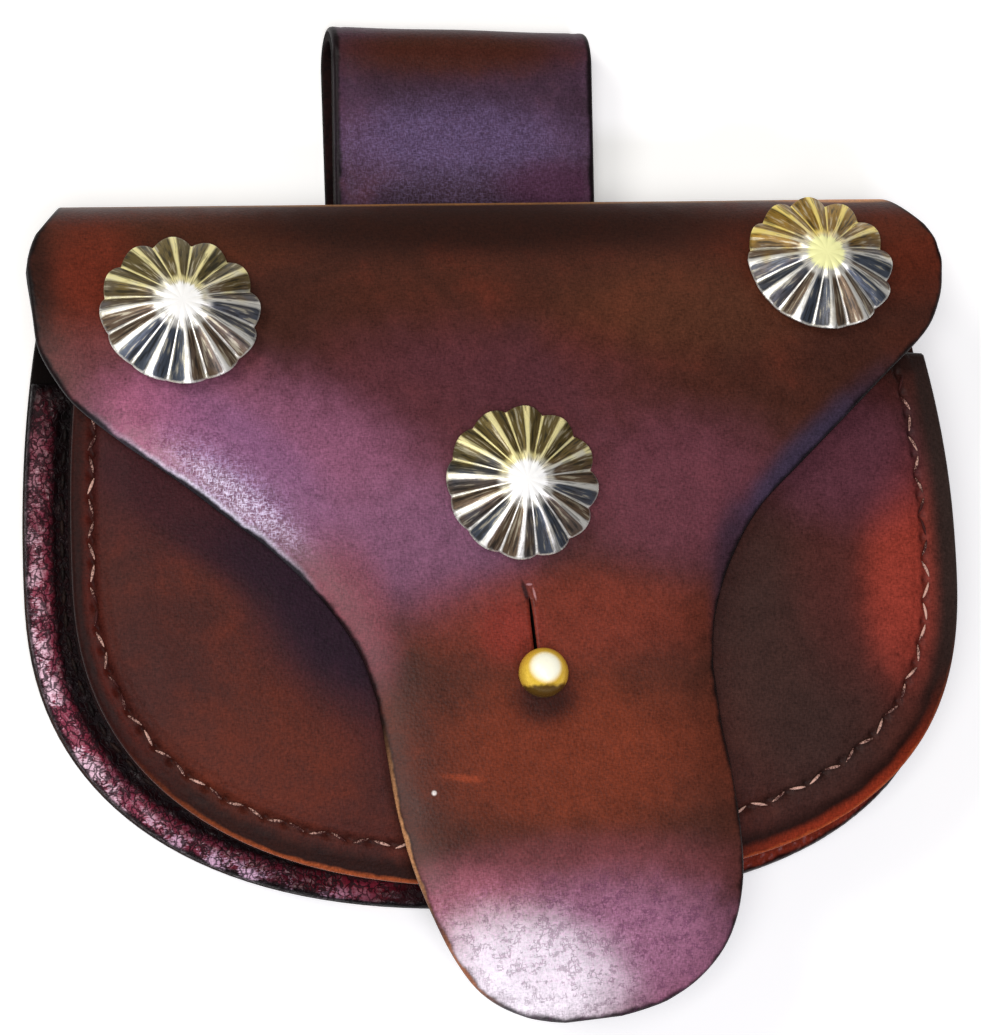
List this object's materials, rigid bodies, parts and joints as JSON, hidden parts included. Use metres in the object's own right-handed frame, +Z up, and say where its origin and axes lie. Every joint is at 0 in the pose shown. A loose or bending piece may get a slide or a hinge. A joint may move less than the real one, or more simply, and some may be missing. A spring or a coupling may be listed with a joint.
{
  "type": "belt bag",
  "caption": "Small leather belt bag: D-shaped pouch with gusset, long tongued flap closed on a ball stud, fluted round studs and a belt loop, lying on its back.",
  "frame": {"origin": "middle of the bag's footprint on the surface it lies on", "axes": "+Z up from the surface, +Y towards the belt loop, +X to the right of someone who faces the bag's front with the loop at the top"},
  "size_m": [0.1586, 0.1744, 0.047],
  "materials": {
    "flap_leather": "waxed oxblood, semi-gloss",
    "panel_leather": "waxed oxblood, semi-gloss",
    "gusset_leather": "crackled burgundy, glossy",
    "loop_leather": "waxed brown with a violet sheen",
    "silver_studs": "polished, cast flutes",
    "ball_brass": "polished",
    "screws": "plain"
  },
  "bodies": {
    "root": {"back_flap": "flap_leather", "front_panel": "panel_leather", "gusset": "gusset_leather", "belt_loop": "loop_leather", "concho_left": "silver_studs", "concho_centre": "silver_studs", "concho_right": "silver_studs", "concho_screw_left": "screws", "concho_screw_centre": "screws", "concho_screw_right": "screws", "ball_stud": "ball_brass", "stud_screw": "screws"}
  },
  "joints": []
}
